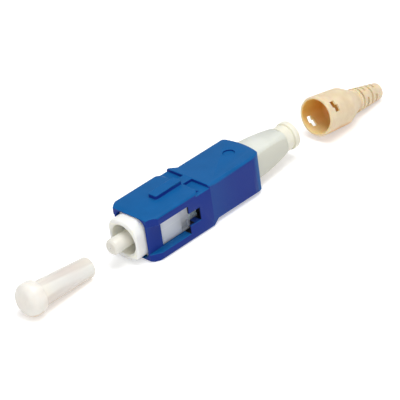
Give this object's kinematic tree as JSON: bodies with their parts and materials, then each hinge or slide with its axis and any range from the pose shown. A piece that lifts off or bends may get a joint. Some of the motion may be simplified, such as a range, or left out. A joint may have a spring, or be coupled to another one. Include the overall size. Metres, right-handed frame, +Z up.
{
  "type": "fibre optic connector",
  "caption": "Push-pull fibre optic connector with a keyed rectangular grip, sprung ceramic ferrule, splice core, dust cap and strain relief boot.",
  "frame": {"origin": "on the housing's flat underside, below the ferrule's axis, in the middle of the front flat's length", "axes": "+X the way the plug goes in, +Z up with the key on top, +Y towards the latch window that the picture shows"},
  "size_m": [0.0764, 0.009, 0.0081],
  "materials": {
    "housing_blue": "fine moulded",
    "frame_white": "smooth moulded",
    "ferrule_ceramic": "polished",
    "fibre_glass": "clear",
    "holder_plastic": "moulded",
    "splice_plastic": "moulded",
    "clamp_metal": "rolled",
    "tube_plastic": "moulded",
    "spring_steel": "drawn wire",
    "rear_white": "smooth moulded",
    "collar_cream": "smooth moulded",
    "cap_milky": "soft translucent",
    "boot_beige": "soft matte"
  },
  "bodies": {
    "housing": {"outer_housing": "housing_blue", "dust_cap": "cap_milky", "boot": "boot_beige"},
    "plug": {"plug_frame": "frame_white", "rear_body": "rear_white", "spring": "spring_steel", "collar": "collar_cream"},
    "core": {"ferrule": "ferrule_ceramic", "fibre_stub": "fibre_glass", "ferrule_holder": "holder_plastic", "splice_plate": "splice_plastic", "splice_groove": "splice_plastic", "splice_clamp": "clamp_metal", "lead_in_tube": "tube_plastic"}
  },
  "joints": [
    {"name": "housing_slide", "type": "slide", "parent": "housing", "child": "plug", "axis": [1, 0, 0], "range_m": [0, 0.0012]},
    {"name": "ferrule_float", "type": "slide", "parent": "plug", "child": "core", "axis": [1, 0, 0], "range_m": [-0.001, 0], "stiffness_N_per_m": 1500, "springref_m": 0.004, "deforming": ["spring"]}
  ]
}
